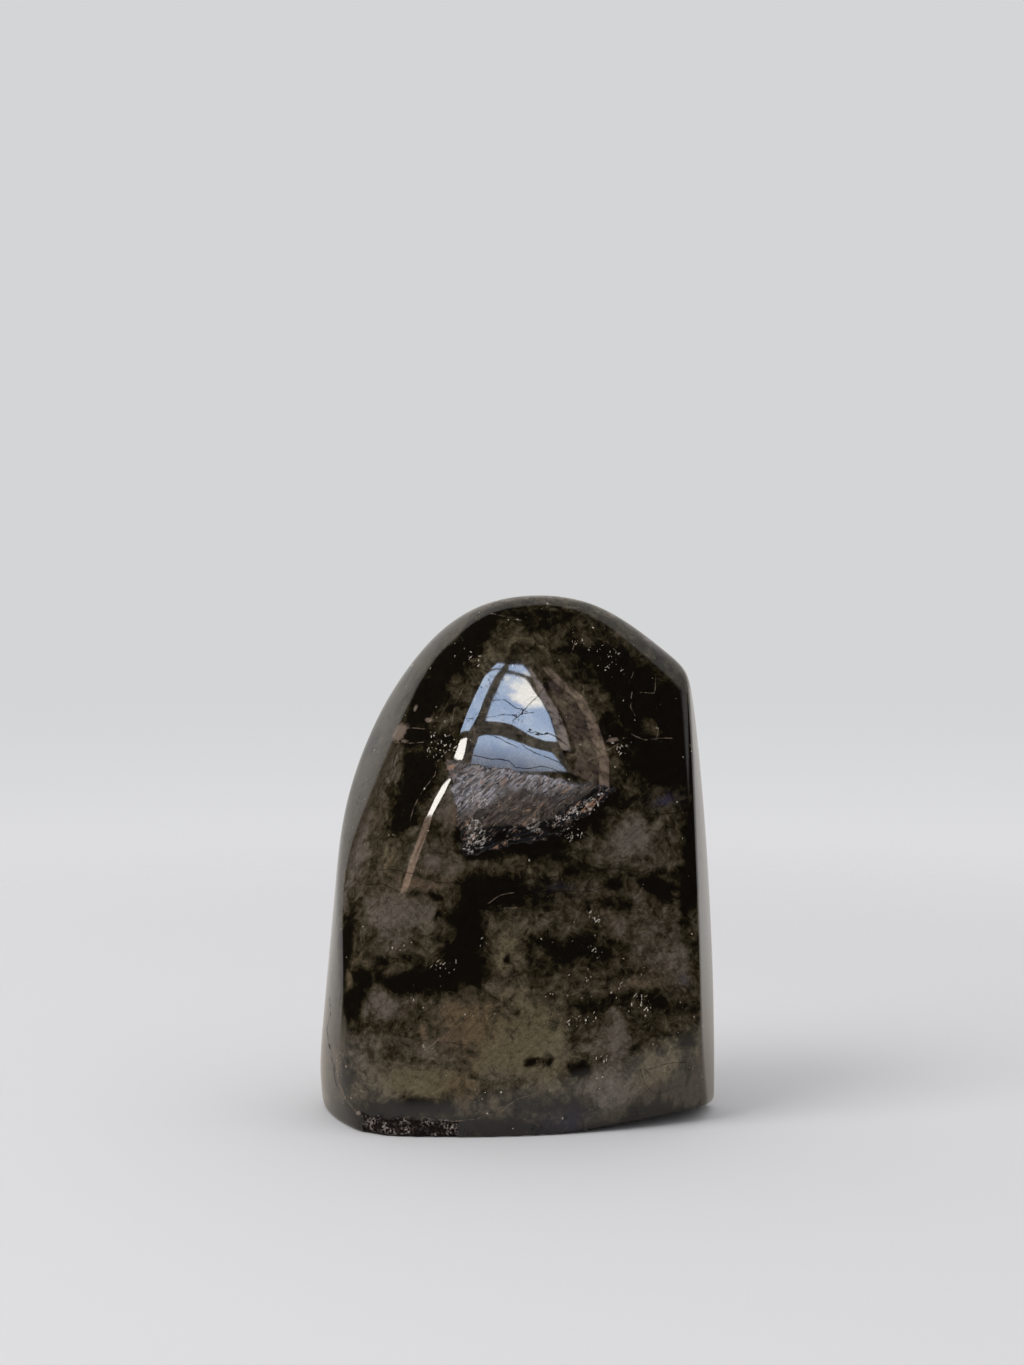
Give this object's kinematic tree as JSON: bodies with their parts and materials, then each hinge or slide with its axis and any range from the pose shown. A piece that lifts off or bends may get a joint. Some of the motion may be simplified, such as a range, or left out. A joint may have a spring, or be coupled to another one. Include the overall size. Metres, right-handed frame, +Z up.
{
  "type": "polished labradorite freeform",
  "caption": "Upright piece of dark grey-green labradorite with softly ground, polished faces, an arched top, an unpolished cleavage scar on the front and a flat sawn base that it stands on.",
  "frame": {"origin": "middle of the bounding box's footprint, on the sawn base", "axes": "+Z up from the base to the crown, which is the longest way; -Y is the broad front face with the scar, and +X is to the right when looking at that face"},
  "size_m": [0.0578, 0.038, 0.075],
  "materials": {
    "labradorite": "polished, nearly black with smoky grey and olive clouds; satin on the scar and along the foot"
  },
  "bodies": {
    "root": {"labradorite_stone": "labradorite"}
  },
  "joints": []
}
